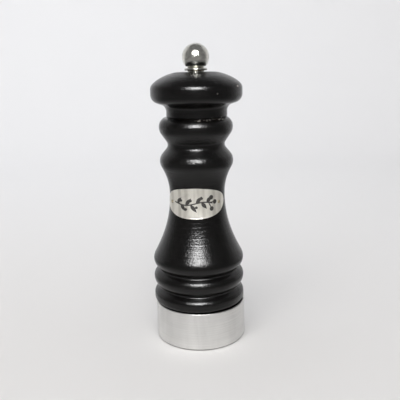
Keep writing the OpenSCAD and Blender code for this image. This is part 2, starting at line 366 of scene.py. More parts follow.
def lacquered_wood(name, chips, edges):
    """Black lacquer over turned wood: grain and tool marks show through. chips are (point, size)
    and worn edges are (height, half width, share flaked off, (left, right))."""
    s = Shader(name)
    grain = s.noise((420, 420, 26), detail=5, rough=0.62, distortion=0.4)
    pores = s.remap(s.noise((1500, 1500, 60), detail=3), 0.60, 0.72)
    tool_marks = s.noise((6, 6, 900), detail=2)
    smears = s.noise(34, detail=3, distortion=0.6)
    sparkle = s.noise((1500, 1500, 800), detail=2)
    worn = worn_places(s, chips, edges)
    tint = s.mix(s.remap(grain, 0.35, 0.75), colour(0.0022, 0.0021, 0.0020),
                 colour(0.0042, 0.0038, 0.0034))
    bare = s.mix(s.noise((700, 700, 60), detail=3), colour(0.40, 0.36, 0.31),
                 colour(0.85, 0.80, 0.72))
    rough = s.remap(s.maths("ADD", s.maths("MULTIPLY", smears, 0.6),
                            s.maths("MULTIPLY", grain, 0.4)), 0.3, 0.7, 0.165, 0.235)
    rough = s.maths("ADD", rough, s.maths("MULTIPLY", worn, 0.3))
    normal = s.bump(grain, 0.22, 0.0003)
    normal = s.bump(s.maths("MULTIPLY", pores, -1.0), 0.3, 0.00010, normal)
    normal = s.bump(tool_marks, 0.62, 0.00017, normal)
    normal = s.bump(sparkle, 0.8, 0.00016, normal)
    normal = s.bump(s.maths("MULTIPLY", worn, -1.0), 0.5, 0.00012, normal)
    s.surface(Base_Color=s.mix(worn, tint, bare), Roughness=rough, Normal=normal,
              Specular_IOR_Level=0.32)
    return s.material


def bare_wood(name):
    """The unlacquered wood inside the bores, with its rings, streaks and dust."""
    s = Shader(name)
    streaks = s.noise((500, 500, 18), detail=5, rough=0.6, distortion=0.5)
    rings = s.add("TexWave", {"Vector": s.stretched((150, 60, 6)), "Scale": 1.0, "Distortion": 5.0,
                              "Detail": 2.0}, wave_type="RINGS").outputs["Fac"]
    dust = s.remap(s.noise(160, detail=4), 0.52, 0.7)
    tint = s.mix(streaks, colour(0.20, 0.115, 0.06), colour(0.40, 0.26, 0.15))
    tint = s.mix(s.maths("MULTIPLY", rings, 0.35), tint, colour(0.13, 0.075, 0.04))
    tint = s.mix(s.maths("MULTIPLY", dust, 0.5), tint, colour(0.06, 0.045, 0.035))
    normal = s.bump(streaks, 0.35, 0.0003)
    s.surface(Base_Color=tint, Roughness=s.remap(streaks, 0.3, 0.7, 0.62, 0.82), Normal=normal)
    return s.material


def metal(name, tint, dark, rough, lines, lines_depth, smudge, smudge_scale, spots=0.0,
          dents=0.0, painted_shade_height=0.0):
    """Polished or brushed metal: fine lines, smudges, a few scratches and specks. A painted
    contact shadow darkens its lowest metres, as many as its last argument gives."""
    s = Shader(name)
    brushed = s.noise(lines, detail=4, rough=0.7)
    smear = s.noise(smudge_scale, detail=4, distortion=0.8)
    cross = s.noise((lines[2] * 0.6 + 80, 160, lines[0] * 0.4 + 90), detail=2, rough=0.8,
                    distortion=1.2)
    scratch = s.remap(cross, 0.70, 0.74)
    specks = s.remap(s.noise(1100, detail=2), 0.74, 0.80)
    # random smudges and lines of tone; where the dark colour is near black, as on the nickel, they
    # are painted reflections
    tone_and_painted_reflection = s.maths("ADD", s.remap(smear, 0.35, 0.75, 0, 0.45), s.remap(brushed, 0.3, 0.7, 0, 0.3))
    tinted = s.mix(tone_and_painted_reflection, tint, dark)
    tinted = s.mix(s.maths("MULTIPLY", specks, spots), tinted, colour(0.08, 0.07, 0.06))
    # painted contact shadow: the colour goes near black towards the foot
    if painted_shade_height:
        cut = s.remap(s.axis("Z"), painted_shade_height, painted_shade_height * 0.6)
        tinted = s.mix(cut, tinted, colour(0.10, 0.095, 0.09))
    gloss = s.maths("ADD", s.remap(brushed, 0.25, 0.75, rough - 0.035, rough + 0.045),
                    s.remap(smear, 0.4, 0.75, 0, smudge))
    gloss = s.maths("ADD", gloss, s.maths("MULTIPLY", scratch, 0.12))
    normal = s.bump(brushed, lines_depth, 0.00006)
    normal = s.bump(scratch, 0.03, 0.00005, normal)
    if dents:
        normal = s.bump(s.noise(900, detail=3, rough=0.6), dents, 0.0006, normal)
    s.surface(Base_Color=tinted, Metallic=1.0, Roughness=gloss, Normal=normal)
    return s.material


def plate_metal(name):
    """Thin satin nickel sheet, brushed upright: painted reflection bands in its colour, fine lines
    and dull spots.
    """
    s = Shader(name)
    # painted reflection: broad upright bands of lighter and darker colour stand for the brushed
    # sheet's sheen
    painted_reflection_bands = s.remap(s.noise((260, 260, 3), detail=1), 0.40, 0.60, smooth=True)
    lines = s.noise((1900, 1900, 50), detail=4, rough=0.7)
    dull = s.noise(170, detail=4, distortion=0.6)
    tone_and_painted_reflection = s.maths("ADD", s.maths("MULTIPLY", painted_reflection_bands, 0.62), s.remap(lines, 0.3, 0.7, 0, 0.22))
    tint = s.mix(tone_and_painted_reflection, colour(0.86, 0.84, 0.77), colour(0.50, 0.48, 0.43))
    tint = s.mix(s.remap(dull, 0.60, 0.80, 0, 0.45), tint, colour(0.36, 0.34, 0.29))
    rough = s.maths("ADD", s.remap(lines, 0.25, 0.75, 0.27, 0.36), s.remap(dull, 0.4, 0.75, 0, 0.1))
    s.surface(Base_Color=tint, Metallic=0.5, Roughness=rough, Normal=s.bump(lines, 0.04, 0.00005))
    return s.material


def engraving_fill(name):
    """Dark fill in the plate's engraved lines, matt and a little worn."""
    s = Shader(name)
    wear = s.noise(1400, detail=4, rough=0.7)
    tint = s.mix(s.remap(wear, 0.5, 0.75), colour(0.030, 0.027, 0.024), colour(0.095, 0.086, 0.074))
    s.surface(Base_Color=tint, Roughness=s.remap(wear, 0.3, 0.7, 0.42, 0.68),
              Normal=s.bump(wear, 0.3, 0.00005))
    return s.material


def backdrop_paper(name):
    """Pale matt paper, seen only from its upper side. Reflections see it dimmer round the mill."""
    s = Shader(name)
    cloud = s.noise(2.2, detail=2)
    tint = s.mix(cloud, colour(0.78, 0.775, 0.775), colour(0.81, 0.805, 0.80))
    dim = s.maths("MULTIPLY", s.remap(s.axis("Y"), 0.40, 0.0, smooth=True),
                  s.remap(s.radius(), 0.09, 0.22))
    dim = s.maths("MULTIPLY", dim, s.add("LightPath").outputs["Is Glossy Ray"])
    tint = s.mix(dim, tint, colour(0.27, 0.27, 0.27))
    s.surface(Base_Color=tint, Roughness=0.75, Normal=s.bump(s.noise(900), 0.02, 0.0001),
              Specular_IOR_Level=0.2)
    back = s.add("NewGeometry").outputs["Backfacing"]
    clear = s.add("BsdfTransparent").outputs[0]
    out = s.tree.nodes["Material Output"]
    mixed = s.add("MixShader", {0: back, 1: s.bsdf.outputs[0], 2: clear}).outputs[0]
    s.tree.links.new(mixed, out.inputs["Surface"])
    return s.material


# ---- wood

# the body's bores from the top down: spigot seat, pepper chamber, burr bore, recess
BODY_BORES = in_mm((19.0, 137.7), (13.03, 137.7), (13.03, 125.6), (12, 125.6), (12, 34),
                   (13.15, 34), (13.15, 7), (19.4, 7), (19.4, 1.1))
BODY_BORE_R, RECESS_R, RECESS_Z = 14 * MM, 24.8 * MM, 7.2 * MM
# the head's bores from the top down: flange seat, bush and spindle bore
HEAD_BORES = in_mm((5.5, 163.3), (5.5, 162.5), (4.25, 162.5), (4.25, 126.2), (12.3, 126.2))
HEAD_BORE_R = 5.3 * MM


def body_outline():
    """The lacquered outside about the wood's own axis, then the bores about the mill's axis."""
    outer = corners_of("body", lambda z: 25 * MM if z < 23 * MM else BODY_FLOOR_R, WOOD_X)
    rounded = smoothed(eased(outer, 0.25 * MM))
    top, tenon = rounded[-1][1], rounded[0]
    inner = eased(BODY_BORES + [tenon], 0.3 * MM)
    return [(r, z, WOOD_X) for r, z in rounded] + [(r, min(z, top)) for r, z in inner[1:-1]]


def turned_wood(name, node, outline, lacquer, body, is_bare):
    """A lathe-turned piece: lacquered, but bare wood where is_bare(r, z)."""
    verts, faces = turned_mesh(outline)
    obj = piece(name, verts, faces, [lacquer, BARE], body, [node], "lacquered_wood", sharp=40)
    for polygon in obj.data.polygons:
        x, y, z = polygon.center
        polygon.material_index = 1 if is_bare(math.hypot(x, y), z) else 0
    return obj


def make_body():
    def in_bore(r, z):
        return r < BODY_BORE_R or (z < RECESS_Z and r < RECESS_R)

    return turned_wood("turned_body", "body", body_outline(), LACQUER, "mill_body", in_bore)


def make_head():
    def below_or_in_bore(r, z):
        return z < SEAM_Z + 0.1 * MM or r < HEAD_BORE_R

    outer = corners_of("head", lambda z: 5.9 * MM if z > SEAM_Z else 10 * MM)
    spigot = [(r, z) for r, z in outer if z < SEAM_Z]
    above = [(r, z) for r, z in outer if z > SEAM_Z]
    seam = (spigot[-1][0], above[0][1])
    skin = smoothed(eased(above, 0.2 * MM))
    outline = spigot + [seam] + skin[:-1] + eased([skin[-1]] + HEAD_BORES, 0.12 * MM)[:-1]
    return turned_wood("turned_head", "head", outline, HEAD_LACQUER, "head", below_or_in_bore)


# ---- base ring and plate

def make_ring():
    """A thin ring whose foot turns in to a narrow lip."""
    low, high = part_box("base_ring")
    r, top, wall, foot = (high.x - low.x) / 2, high.z, 1.1 * MM, 0.5 * MM
    lip = r - 3.4 * MM
    outline = eased([(lip, 0.2 * MM), (lip, 0), (r - foot, 0), (r, foot), (r, top), (r - wall, top),
                     (r - wall, wall), (lip, wall), (lip, 0.2 * MM)], 0.25 * MM)[:-1]
    steps = []
    for a, b in zip(outline, outline[1:] + outline[:1]):
        count = max(1, math.ceil((Vector(b) - Vector(a)).length / (2.5 * MM)))
        steps += [tuple(Vector(a).lerp(Vector(b), k / count)) for k in range(count)]
    verts, faces = turned_mesh(steps, segments=256, centre_x=(high.x + low.x) / 2)
    return piece("base_ring_shell", verts, faces, STEEL, "mill_body", ["base_ring"], "steel_ring")


WAIST = corners_of("body", lambda z: BODY_FLOOR_R, WOOD_X)
PLATE_W, PLATE_H, PLATE_Z, PLATE_TURN = 44.6 * MM, 18.4 * MM, 88.8 * MM, math.radians(6)
PLATE_LIFT, PLATE_THICK = 0.06 * MM, 0.5 * MM
PIN_INSET = 6.8 * MM


def wood_radius(z):
    """The turned body's radius at a height, from its CAD outline."""
    for (r0, z0), (r1, z1) in zip(WAIST, WAIST[1:]):
        if z0 <= z <= z1:
            return r0 + (r1 - r0) * (z - z0) / (z1 - z0)
    raise ValueError(z)


def on_plate(u, v, lift):
    """The point u round the waist and v up from the plate's centre, at a lift above the wood."""
    x, z = WAIST_R * math.sin(u / WAIST_R), PLATE_Z + v
    r = wood_radius(z) + lift
    a = math.asin(x / r) - PLATE_TURN
    return (WOOD_X + r * math.sin(a), -r * math.cos(a), z)


# (inset, depth below the rim's top) in mm: the rim, a fine engraved line, then the field
PLATE_FACE = [(0, 0.10), (0.03, 0.03), (0.10, 0), (0.50, 0), (0.56, 0.02), (0.62, 0.07),
              (0.76, 0.07), (0.84, 0.03), (0.95, 0.02)]
PLATE_FACE += [(inset, 0.02) for inset in (1.8, 2.8, 4.0, 5.2, 6.4, 7.6, 8.6)]
PLATE_BACK = (0.0, 3.0, 6.0, 8.6)


def oval_skin(rings, flip=False):
    """Vertices and faces of one side of the oval: rings of (inset, lift), then strips across."""
    count, verts, faces = 160, [], []
    for inset, lift in rings:
        for i in range(count):
            a = 2 * math.pi * i / count
            verts.append(on_plate((PLATE_W / 2 - inset) * math.cos(a),
                                  (PLATE_H / 2 - inset) * math.sin(a), lift))
    last = (len(rings) - 1) * count
    for first in range(0, last, count):
        faces += band_faces(first, first + count, count)
    for i in range(count // 2):
        across = (last + i, last + i + 1, last + count - i - 1, last + (count - i) % count)
        faces.append(tuple(dict.fromkeys(across)))
    faces = [f for f in faces if len(f) > 2]
    return verts, [f[::-1] for f in faces] if flip else faces


def make_plate():
    """The oval wraps round the waist: a raised rim, a fine engraved line and a sunk field."""
    top = PLATE_LIFT + PLATE_THICK
    front = [(0.0, PLATE_LIFT)] + [(inset * MM, top - depth * MM) for inset, depth in PLATE_FACE]
    back = [(inset * MM, PLATE_LIFT) for inset in PLATE_BACK]
    verts, faces = joined([oval_skin(front), oval_skin(back, flip=True)])
    return piece("oval_plate", verts, faces, PLATE_METAL, "mill_body", ["name_plate"],
                 "name_plate", sharp=50)


def stroked(points, width):
    """A strip of (left, right) edge points along a line of (u, v) points, all in mm."""
    strip = []
    for i, (u, v) in enumerate(points):
        ahead, behind = points[min(i + 1, len(points) - 1)], points[max(i - 1, 0)]
        du, dv = ahead[0] - behind[0], ahead[1] - behind[1]
        n = math.hypot(du, dv)
        w = width(i / (len(points) - 1)) / 2
        strip.append([(x * MM, y * MM) for x, y in ((u - dv / n * w, v + du / n * w),
                                                    (u + dv / n * w, v - du / n * w))])
    return strip


STEM_START, STEM_LENGTH, FORK = -13.4, 24.6, 8.6      # along the stem, in mm
LEAVES = [(-11.2, 1), (-8.6, -1), (-5.4, 1), (-2.4, -1), (1.0, 1), (4.2, -1), (7.4, 1)]


def stem_v(u):
    """The stem's gentle wave."""
    return 0.9 * math.sin(u * 0.28)


def leaf_line(u, side):
    """The middle line of a leaf that grows from the stem at u, upwards or downwards."""
    angle, size = math.radians(side * 50), 5.9 - 0.14 * abs(u + 2)
    return [(u + size * t * math.cos(angle), stem_v(u) + size * t * math.sin(angle))
            for t in [i / 12 for i in range(13)]]


def motif_strips():
    """A sprig over the plate's field: a stem, broad leaves to both sides, and twigs."""
    stem = [(u, stem_v(u)) for u in [STEM_START + STEM_LENGTH * i / 60 for i in range(61)]]
    strips = [stroked(stem, lambda t: 0.72)]
    for u, side in LEAVES:
        strips.append(stroked(leaf_line(u, side),
                              lambda t: 0.15 + 2.1 * math.sin(math.pi * t ** 0.8) ** 1.2))
    for u, v in ((10.2, 2.9), (12.4, 0.6), (10.4, -2.7)):
        twig = [(FORK + (u - FORK) * t, stem_v(FORK) + (v - stem_v(FORK)) * t)
                for t in (0, 0.5, 1)]
        strips.append(stroked(twig, lambda t: 0.6))
    return strips


def motif_corns():
    """Peppercorns at the sprig's end and between its leaves: (u, v, radius), in mm."""
    corns = [(10.4, 3.5, 1.35), (12.9, 0.6, 1.35), (10.7, -3.3, 1.35)]
    corns += [(u + 0.2, stem_v(u) - side * 2.4, 0.8) for u, side in LEAVES[1:6]]
    return corns


def strip_rings(strip, face, sunk):
    """Five-point sections along a strip, domed over the plate's face."""
    edge = face - 0.01 * MM
    return [[on_plate(*left, sunk), on_plate(*left, edge),
             on_plate((left[0] + right[0]) / 2, (left[1] + right[1]) / 2, face),
             on_plate(*right, edge), on_plate(*right, sunk)] for left, right in strip]


def corn_rings(u, v, r, face, sunk):
    """Rings of a low round boss at (u, v)."""
    levels = ((1, sunk), (1, face - 0.01 * MM), (0.5, face + 0.01 * MM))
    return [[on_plate((u + x) * MM, (v + y) * MM, lift) for x, y in circle(r * share, 20)]
            for share, lift in levels]


def make_motif():
    """The plate's engraved sprig, filled dark: it lies just above the field and reaches into it."""
    face = PLATE_LIFT + PLATE_THICK + 0.02 * MM
    sunk = face - 0.1 * MM
    shapes = [strip_rings(strip, face, sunk) for strip in motif_strips()]
    shapes += [corn_rings(u, v, r, face, sunk) for u, v, r in motif_corns()]
    verts, faces = joined([lofted_mesh(rings) for rings in shapes])
    return piece("plate_motif", verts, faces, ENGRAVING, "mill_body", [], "name_plate", sharp=60)


def make_pins():
    """Two domed pins at the plate's ends, drawn upright and then laid out from the waist."""
    root, face, shoulder, peak, shank_r, head_r = 17.0, 17.54, 17.62, 17.98, 0.5, 1.0
    pin = eased([(0, root), (shank_r, root), (shank_r, face), (head_r, face), (head_r, shoulder)],
                0.05)
    pin += [(0.93 * math.cos(a) + 0.02, shoulder + 0.02 + 0.34 * math.sin(a))
            for a in [math.radians(d) for d in range(8, 90, 9)]] + [(0, peak)]
    upright, faces = turned_mesh(in_mm(*pin), segments=32, closed=False)
    pins = []
    for side in (-1, 1):
        turn = side * (PLATE_W / 2 - PIN_INSET) / WAIST_R - PLATE_TURN
        aim = Matrix.Translation((WOOD_X, 0, PLATE_Z)) @ Matrix.Rotation(turn, 4, "Z") \
            @ Matrix.Rotation(math.radians(90), 4, "X")
        pins.append(([aim @ Vector(v) for v in upright], faces))
    return piece("plate_pins", *joined(pins), PIN_METAL, "mill_body", ["name_plate_pins"],
                 "name_plate")


# ---- knob

def make_knob():
    """The ball nut: a collar, a neck and the ball, over a blind bore."""
    bore_top, foot_z, neck_z = 176.5 * MM, 164.1 * MM, 166.4 * MM
    outer = corners_of("knob", lambda z: 2.7 * MM if z < 177 * MM else -1)
    foot = [(r, z) for r, z in outer if z < neck_z]
    ball = [(r, z) for r, z in outer if z > neck_z]
    ball[-1] = (0.0, ball[-1][1])
    bore = [(0, bore_top), (THREAD_HOLE, bore_top), (THREAD_HOLE, foot_z)]
    neck = smoothed([foot[-1]] + ball, step=0.5 * MM, corner=60)
    collar = eased(bore[1:] + foot, 0.22 * MM, least_turn=18)
    verts, faces = turned_mesh([bore[0]] + collar[:-1] + neck, segments=128, closed=False)
    return piece("ball_knob", verts, faces, NICKEL, "knob", ["knob"], "nickel_knob", sharp=42)


def washer(name, node, r_out, r_in, material, body, slot, ease=0.15 * MM):
    """A flat ring as high as its CAD node, with eased edges."""
    low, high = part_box(node)
    middle = (r_in, (low.z + high.z) / 2)
    ring = eased([middle, (r_in, low.z), (r_out, low.z), (r_out, high.z), (r_in, high.z), middle],
                 ease)[:-1]
    verts, faces = turned_mesh(ring, segments=96)
    return piece(name, verts, faces, material, body, [node], slot)


def make_bush():
    """A flanged bush; its outline starts and ends halfway up the bore."""
    bore, shank, flange = THREAD_HOLE, 4.2 * MM, 5.4 * MM
    low, middle, seat, top = [z * MM for z in (152.5, 158, 162.5, 163.3)]
    ring = eased([(bore, middle), (bore, low), (shank, low), (shank, seat), (flange, seat),
                  (flange, top), (bore, top), (bore, middle)], 0.2 * MM)[:-1]
    verts, faces = turned_mesh(ring, segments=96)
    return piece("brass_bush", verts, faces, BRASS, "head", ["head_bush"], "brass_bush")


# ---- spindle, spring, clip

THREAD_CORE = 2.15           # mm


def bar_section(shrink=0.0):
    """The spindle's radius in mm by angle: a square bar with rounded corners."""
    flats, corner = 2.7, 3.5
    return lambda a: min(flats / max(abs(math.cos(a)), abs(math.sin(a))), corner) - shrink


def round_section(r):
    return lambda a: r


def thread_section(z):
    """The radius in mm by angle at a height z of the cut thread, which fades in and out."""
    crest, pitch, low, high, tip, fade = 2.5, 0.8, 151.6, 172.4, 172.2, 0.8
    if z > tip:
        return round_section(THREAD_CORE - (z - tip) * 0.7)
    depth = min(1.0, max(0.0, (z - low) / fade)) * min(1.0, max(0.0, (high - z) / fade))

    def radius(a):
        turn = (z / pitch - a / (2 * math.pi)) % 1
        crown = max(0.0, min(1.0, (0.5 - abs(turn - 0.5)) * 2 * 1.5 - 0.2))
        return THREAD_CORE + (crest - THREAD_CORE) * crown * depth

    return radius


def make_spindle():
    """A square bar with rounded corners, a clip groove below and a cut thread above."""
    bottom, bar_low, bar_high, shoulder, thread_low, top = 5.2, 7.05, 149.6, 150.0, 150.2, 173
    groove_r, groove_low, groove_high, step = 2.3, 6.2, 7.0, 0.1
    levels = [(bottom, bar_section(0.4)), (bottom + 0.3, bar_section()), (6.15, bar_section()),
              (groove_low, bar_section(0.1)), (groove_low, round_section(groove_r)),
              (groove_high, round_section(groove_r)), (groove_high, bar_section(0.1))]
    levels += [(z, bar_section()) for z in spaced(bar_low, bar_high, 12)]
    levels += [(shoulder, bar_section(0.4)), (shoulder, round_section(THREAD_CORE))]
    heights = [thread_low + step * i for i in range(int((top - thread_low) / step) + 1)]
    levels += [(z, thread_section(z)) for z in heights]
    angles = [2 * math.pi * i / 64 for i in range(64)]
    rings = [[(r(a) * MM * math.cos(a), r(a) * MM * math.sin(a), z * MM) for a in angles]
             for z, r in levels]
    verts, faces = lofted_mesh(rings)
    return piece("spindle_bar", verts, faces, SPINDLE_STEEL, "spindle", ["spindle"],
                 "spindle_steel", sharp=35)


def make_spring():
    """A wire coil with its end turns closed."""
    low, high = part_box("spring")
    wire, mean, turns, sides, per_turn = 0.5 * MM, 4.75 * MM, 6.5, 14, 48
    flat, pitch_flat = 0.9 / turns, 2 * wire * 1.03       # the closed end turns
    rise = (high.z - low.z) - 2 * wire - 2 * pitch_flat

    def height(t):
        u = max(0.0, min(1.0, (t - flat) / (1 - 2 * flat)))
        closed = pitch_flat * (min(t, flat) + max(0.0, t - 1 + flat)) / flat
        return low.z + wire + closed + u * rise

    rings = []
    steps = round(turns * per_turn)
    for i in range(steps + 1):
        t = i / steps
        a = 2 * math.pi * turns * t
        section = circle(wire if 0 < i < steps else wire * 0.7, sides)
        rings.append([((mean + out) * math.cos(a), (mean + out) * math.sin(a), height(t) + up)
                      for out, up in section])
    verts, faces = lofted_mesh(rings)
    obj = piece("coil_spring", verts, faces, SPRING_STEEL, "spring_seat", ["spring"],
                "spring_steel", sharp=60)
    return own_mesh(obj)


def make_clip():
    """An E-shaped clip in the spindle's groove, open towards +Y, with two notches outside."""
    low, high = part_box("spindle_clip")
    outer, bore, gap, notches, notch_half = 4.4, 2.35, 1.7, (30, 150), 11
    start, inner_start = math.asin(gap / outer), math.asin(gap / bore)
    loop = []
    for a in spaced(start, 2 * math.pi - start, 72):
        bearing = math.degrees(math.atan2(math.cos(a), math.sin(a))) % 360
        notched = min(abs(bearing - n) for n in notches) < notch_half
        r = outer * 0.82 if notched else outer
        loop.append((r * math.sin(a) * MM, r * math.cos(a) * MM))
    for a in spaced(2 * math.pi - inner_start, inner_start, 48):
        loop.append((bore * math.sin(a) * MM, bore * math.cos(a) * MM))
    mesh = stamped_mesh("clip_ring", [loop], low.z, high.z, 0.08 * MM)
    return finished("clip_ring", mesh, SPRING_STEEL, "spindle", ["spindle_clip"])


# ---- burrs

BURR_R, BURR_Z, BURR_TAPER, THROAT_Z = 11 * MM, 7 * MM, 0.25, 13 * MM


def tooth(angle, z, count, slope, width):
    """0 to 1 across a V-shaped groove that leans by slope (radians per metre) round the axis."""
    turn = (angle - slope * z) * count / (2 * math.pi) % 1
    return max(0.0, 1 - abs(turn - 0.5) / (width / 2))


def make_outer_burr():
    """A ring: its bore narrows to the throat with feed grooves, then widens with fine teeth."""
    low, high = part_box("outer_burr")
    z0, z1, outside, throat_r = low.z, high.z, 13 * MM, 9.5 * MM

    def relief(a, r, z):
        if r > outside - 0.7 * MM:
            return 0.0
        fine = 0.5 * tooth(a, z, count=18, slope=-0.325 / 0.0105, width=0.62)
        feed = 0.9 * tooth(a, z, count=8, slope=0.404 / 0.0105, width=0.3)
        return max(fine if z < THROAT_Z + 0.3 * MM else 0,
                   feed if z > THROAT_Z - 0.6 * MM else 0) * MM

    inner = [(throat_r + (z - THROAT_Z) * 0.35, z) for z in spaced(z1, THROAT_Z, 14)[:-1]]
    inner += [(BURR_R - BURR_TAPER * (z - z0), z) for z in spaced(THROAT_Z, z0, 14)]
    outer = eased([inner[-1], (outside, z0), (outside, z1), inner[0]], 0.3 * MM)[1:-1]
    verts, faces = turned_mesh(inner + outer, segments=432, relief=relief)
    return piece("grinding_ring", verts, faces, BURR, "mill_body", ["outer_burr"], "burr_steel",
                 sharp=28)


def make_inner_burr():
    """A cone with fine teeth below, feed grooves above and a square hole for the spindle."""
    low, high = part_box("inner_burr")
    z0, z1, gap, segments = low.z, high.z, 0.55 * MM, 480
    neck_r, edge, top_r = 6.2 * MM, 0.4 * MM, 5.6 * MM

    def grind(z):
        return BURR_R - BURR_TAPER * (z - BURR_Z) - gap

    def relief(a, r, z):
        if r < top_r + 0.1 * MM:
            return 0.0
        fade = min(1.0, (z1 - z) / (2 * MM))
        fine = 0.45 * tooth(a, z, count=20, slope=0.325 / 0.0099, width=0.62)
        feed = 1.7 * tooth(a, z, count=8, slope=-0.404 / 0.008, width=0.42) * fade
        return -max(fine if z < THROAT_Z else 0, feed if z > THROAT_Z - 0.8 * MM else 0) * MM

    wall = [(grind(z), z) for z in spaced(z0, THROAT_Z, 14)]
    wall += list(zip(spaced(grind(THROAT_Z), neck_r, 14), spaced(THROAT_Z, z1 - edge, 14)))[1:]
    wall += [(top_r, z1)]
    verts, faces = turned_mesh(wall, segments=segments, relief=relief, closed=False)
    last = (len(wall) - 1) * segments
    for z, ring in ((z1, last), (z0, 0)):
        first = len(verts)
        for i in range(segments):
            a = 2 * math.pi * i / segments
            r = SQUARE_HOLE / max(abs(math.cos(a)), abs(math.sin(a)))
            verts.append((r * math.cos(a), r * math.sin(a), z))
        faces += band_faces(ring, first, segments)
    faces += band_faces(len(verts) - 2 * segments, len(verts) - segments, segments)
    return piece("grinding_cone", verts, faces, BURR, "spindle", ["inner_burr"], "burr_steel",
                 sharp=28)


# ---- plates, screws and bridge

def screw_outline(head_r, head_h, shank_r, length):
    """Half the section of a pointed screw, in mm: a domed head below z = 0, then ring threads."""
    root, lead, pitch = shank_r - 0.3, 0.6, 0.7
    dome = [(head_r * math.sin(a), -head_h + head_h * 0.62 * (1 - math.cos(a)))
            for a in [math.radians(d) for d in range(0, 91, 9)]]
    rise = [(head_r, -0.05 * head_h), (head_r - 0.1, 0), (shank_r, 0), (shank_r, lead / 2)]
    thread, z = [], lead
    while z < length - 1.6:
        thread += [(root, z), (shank_r, z + pitch / 2)]
        z += pitch
    return dome + rise + thread + [(root, length - 1.5), (0.05, length), (0, length)]


def cross_shape(head_r, head_h):
    """A cross that tapers into the screw's head."""
    arm, half, depth = head_r * 0.56, head_r * 0.12, head_h * 0.6
    top, bottom = -head_h - 0.2, -head_h + depth
    plus = [(half, half), (half, arm), (-half, arm), (-half, half), (-arm, half), (-arm, -half),
            (-half, -half), (-half, -arm), (half, -arm), (half, -half), (arm, -half), (arm, half)]
    shrink = {arm: 0.55, half: 0.8}
    small = [(x * shrink[abs(x)], y * shrink[abs(y)]) for x, y in plus]
    return lofted_mesh([[(x * MM, y * MM, top * MM) for x, y in plus],
                        [(x * MM, y * MM, bottom * MM) for x, y in small]])


def screw_mesh(head_r, head_h, shank_r, length):
    """A domed cross-recessed screw that points up, its head below z = 0."""
    outline = in_mm(*screw_outline(head_r, head_h, shank_r, length))
    blank = mesh_of("screw", *turned_mesh(outline, segments=48, closed=False))
    cross = mesh_of("cross", *cross_shape(head_r, head_h))
    whole, cutter = [linked(bpy.data.objects.new("screw_part", cleaned(m))) for m in (blank, cross)]
    cut = whole.modifiers.new("cut", "BOOLEAN")
    cut.operation, cut.object, cut.solver = "DIFFERENCE", cutter, "EXACT"
    made = evaluated(whole)
    for obj in (whole, cutter):
        bpy.data.objects.remove(obj)
    return made


def screw_set(name, node, places, z, sizes, body):
    """Screws at the places, each turned to its own angle, as one piece."""
    one = screw_mesh(**sizes)
    luck = random.Random(len(places) * 7 + 1)
    copies = []
    for x, y in places:
        copies.append(one.copy())
        turn = Matrix.Rotation(luck.uniform(0, math.pi), 4, "Z")
        copies[-1].transform(Matrix.Translation((x, y, z)) @ turn)
    return finished(name, merged(name, copies), PLATED, body, [node], sharp=35)


def make_retaining_plate():
    low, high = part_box("retaining_plate")
    places = around(3, 16 * MM, 90)
    rims = [circle(high.x, 160), circle(11.5 * MM, 128)]
    holes = [circle(1.7 * MM, 32, place) for place in places]
    mesh = stamped_mesh("retaining_disc", rims + holes, low.z, high.z, 0.2 * MM)
    finished("retaining_disc", mesh, PLATED, "mill_body", ["retaining_plate"])
    sizes = {"head_r": 2.9, "head_h": 1.7, "shank_r": 1.5, "length": 11}
    screw_set("retaining_screw_set", "retaining_screws", places, low.z, sizes, "mill_body")


def make_drive_plate():
    low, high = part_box("drive_plate")
    places, half = around(2, 6.8 * MM), SQUARE_HOLE
    square = [(-half, -half), (half, -half), (half, half), (-half, half)]
    holes = [circle(1.5 * MM, 32, place) for place in places]
    mesh = stamped_mesh("drive_disc", [circle(high.x, 128), square] + holes, low.z, high.z,
                        0.2 * MM)
    finished("drive_disc", mesh, PLATED, "head", ["drive_plate"])
    sizes = {"head_r": 2.4, "head_h": 1.2, "shank_r": 1.3, "length": 9}
    screw_set("drive_screw_set", "drive_plate_screws", places, low.z, sizes, "head")


def make_bridge():
    """A strap bent down at both ends, its ends curved to the bore."""
    low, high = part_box("bridge")
    bar, half, leg, r = 31.8 * MM, 4.5 * MM, 11 * MM, 13 * MM
    end = [(r * math.cos(a), r * math.sin(a)) for a in spaced(-math.asin(half / r),
                                                              math.asin(half / r), 16)]
    plan = end + [(-x, -y) for x, y in end]
    parts = [stamped_mesh("bridge_strap", [plan, circle(ROUND_HOLE, 64)], bar, high.z, 0.3 * MM)]
    for side in (1, -1):
        foot = [(side * x, side * y) for x, y in end + [(leg, half), (leg, -half)]]
        parts.append(stamped_mesh("leg", [foot], low.z, bar + 0.4 * MM, 0.2 * MM))
    return finished("bridge_strap", merged("bridge_strap", parts), PLATED, "mill_body", ["bridge"])


# ---- stage, light, camera

def make_stage():
    """A pale paper bowl: a floor, open under the ring, that curves up into a wall all round."""
    inside_ring, flat, corner, top, below = 0.0235, 0.62, 0.42, 1.5, 0.0001
    outline = [(inside_ring, 0), (0.05, 0), (0.2, 0), (flat, 0)]
    outline += [(flat + corner * math.sin(a), corner * (1 - math.cos(a)))
                for a in [math.radians(d) for d in range(5, 91, 5)]]
    outline += [(flat + corner + 0.02, top)]
    verts, faces = turned_mesh(outline, segments=128, closed=False)
    mesh = mesh_of("paper_bowl", [(x, y, z - below) for x, y, z in verts], faces)
    mesh.shade_smooth()
    mesh.materials.append(backdrop_paper("paper"))
    if mesh.polygons[0].normal.z < 0:
        mesh.flip_normals()
    bowl = linked(bpy.data.objects.new("paper_bowl", mesh))


